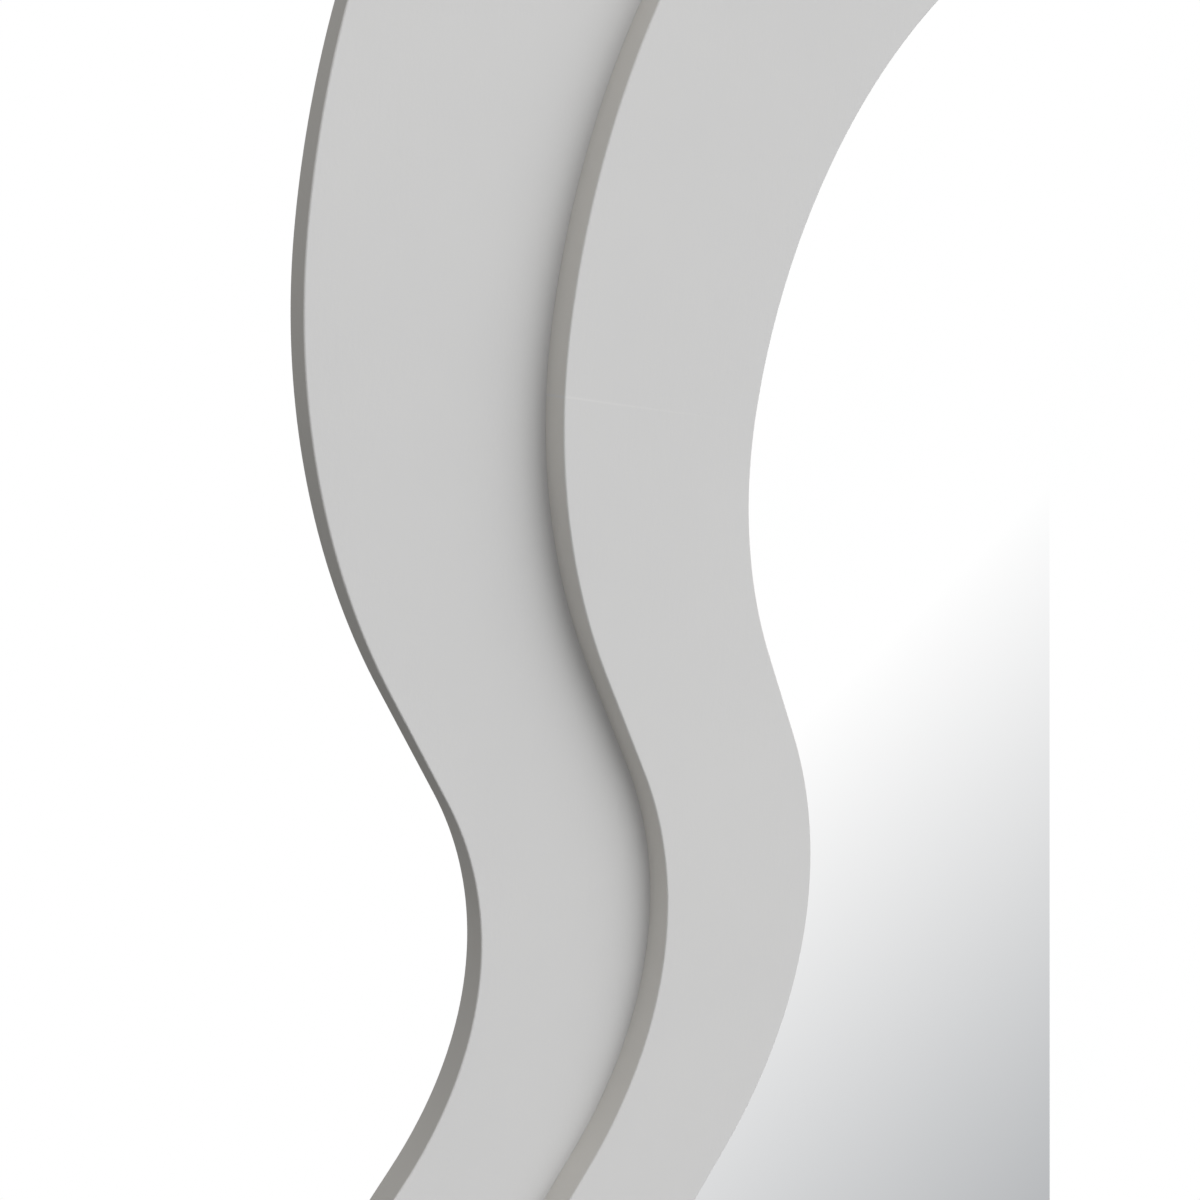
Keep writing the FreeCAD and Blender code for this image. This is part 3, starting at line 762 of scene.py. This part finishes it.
def scaled_length(tree, vector, shares):
    """Length of a vector, with each of its parts scaled first."""
    scale = tree.nodes.new("ShaderNodeVectorMath")
    scale.operation = "MULTIPLY"
    tree.links.new(vector, scale.inputs[0])
    scale.inputs[1].default_value = shares
    length = tree.nodes.new("ShaderNodeVectorMath")
    length.operation = "LENGTH"
    tree.links.new(scale.outputs["Vector"], length.inputs[0])
    return length.outputs["Value"]


def mixed(tree, share, first, second):
    """Mixes two colours, each an output or a plain colour."""
    node = tree.nodes.new("ShaderNodeMix")
    node.data_type = "RGBA"
    tree.links.new(share, node.inputs["Factor"])
    entries = [entry for entry in node.inputs if entry.type == "RGBA"]
    for entry, colour in zip(entries, (first, second)):
        if isinstance(colour, tuple):
            entry.default_value = colour
        else:
            tree.links.new(colour, entry)
    return next(output for output in node.outputs if output.type == "RGBA")


def set_world():
    """White to the eye, a graded room to the mirror, and a soft fill from the upper left to the rest."""
    world = bpy.data.worlds.new("studio")
    bpy.context.scene.world = world
    world.use_nodes = True
    tree = world.node_tree
    direction = tree.nodes.new("ShaderNodeTexCoord").outputs["Generated"]
    rays = tree.nodes.new("ShaderNodeLightPath").outputs
    slope = maths(tree, "ADD", dot(tree, direction, ROOM_SLOPE), ROOM_OFFSET)
    lit_side = maths(tree, "LESS_THAN", dot(tree, direction, SCREEN_NORMAL), 0)
    shade = maths(tree, "MULTIPLY", maths(tree, "MAXIMUM", slope, 0), lit_side)
    for towards, start, growth in GREY_SIDES:
        level = maths(tree, "SUBTRACT", dot(tree, direction, towards), start)
        level = maths(tree, "MAXIMUM", level, 0)
        shade = maths(tree, "ADD", shade, maths(tree, "MULTIPLY", level, growth))
    room = mixed(tree, shade, WHITE, ROOM_DARK)
    fill = mixed(tree, maths(tree, "MAXIMUM", dot(tree, direction, FILL_SLOPE), 0), BLACK, WHITE)
    shiny = maths(tree, "MAXIMUM", rays["Is Glossy Ray"], rays["Is Transmission Ray"])
    seen = mixed(tree, shiny, fill, room)
    seen = mixed(tree, rays["Is Camera Ray"], seen, WHITE)
    tree.links.new(seen, tree.nodes["Background"].inputs["Color"])


def floor_material():
    """Pale floor that holds the shadow near the object and is white to the eye further away."""
    material = bpy.data.materials.new("floor")
    material.use_nodes = True
    tree = material.node_tree
    shader = tree.nodes["Principled BSDF"]
    shader.inputs["Base Color"].default_value = grey(FLOOR_SHADE)
    shader.inputs["Roughness"].default_value = FLOOR_ROUGHNESS
    place = tree.nodes.new("ShaderNodeNewGeometry").outputs["Position"]
    distance = scaled_length(tree, place, FLOOR_REACH_SHARES)
    away = tree.nodes.new("ShaderNodeMapRange")
    away.interpolation_type = "SMOOTHSTEP"
    away.inputs["From Min"].default_value = FLOOR_SHADOW_REACH
    away.inputs["From Max"].default_value = FLOOR_WHITE_REACH
    tree.links.new(distance, away.inputs["Value"])
    rays = tree.nodes.new("ShaderNodeLightPath").outputs
    white = tree.nodes.new("ShaderNodeEmission")
    white.inputs["Color"].default_value = WHITE
    mix = tree.nodes.new("ShaderNodeMixShader")
    tree.links.new(maths(tree, "MULTIPLY", away.outputs["Result"], rays["Is Camera Ray"]), mix.inputs[0])
    tree.links.new(shader.outputs["BSDF"], mix.inputs[1])
    tree.links.new(white.outputs["Emission"], mix.inputs[2])
    tree.links.new(mix.outputs["Shader"], tree.nodes["Material Output"].inputs["Surface"])
    return material


def lay_floor():
    half = FLOOR_SIZE / 2
    level = cad_bounds[0].z - FLOOR_GAP
    mesh = bpy.data.meshes.new("floor")
    corners = [(x * half, y * half, level) for x, y in ((-1, -1), (1, -1), (1, 1), (-1, 1))]
    mesh.from_pydata(corners, [], [(0, 1, 2, 3)])
    floor = link("floor", mesh)
    mesh.materials.append(floor_material())
    floor.visible_glossy = False
    floor.visible_diffuse = False


build_boards()
build_fittings()
refinish("mirror_glass", mirror())
refinish("packing_sheet", foam())
place_camera()
place_lamp("key", KEY_FROM, KEY_STRENGTH, KEY_SPREAD)
place_lamp("rear_light", REAR_FROM, REAR_STRENGTH, REAR_SPREAD)
set_world()
lay_floor()
bpy.context.scene.view_settings.view_transform = "Standard"
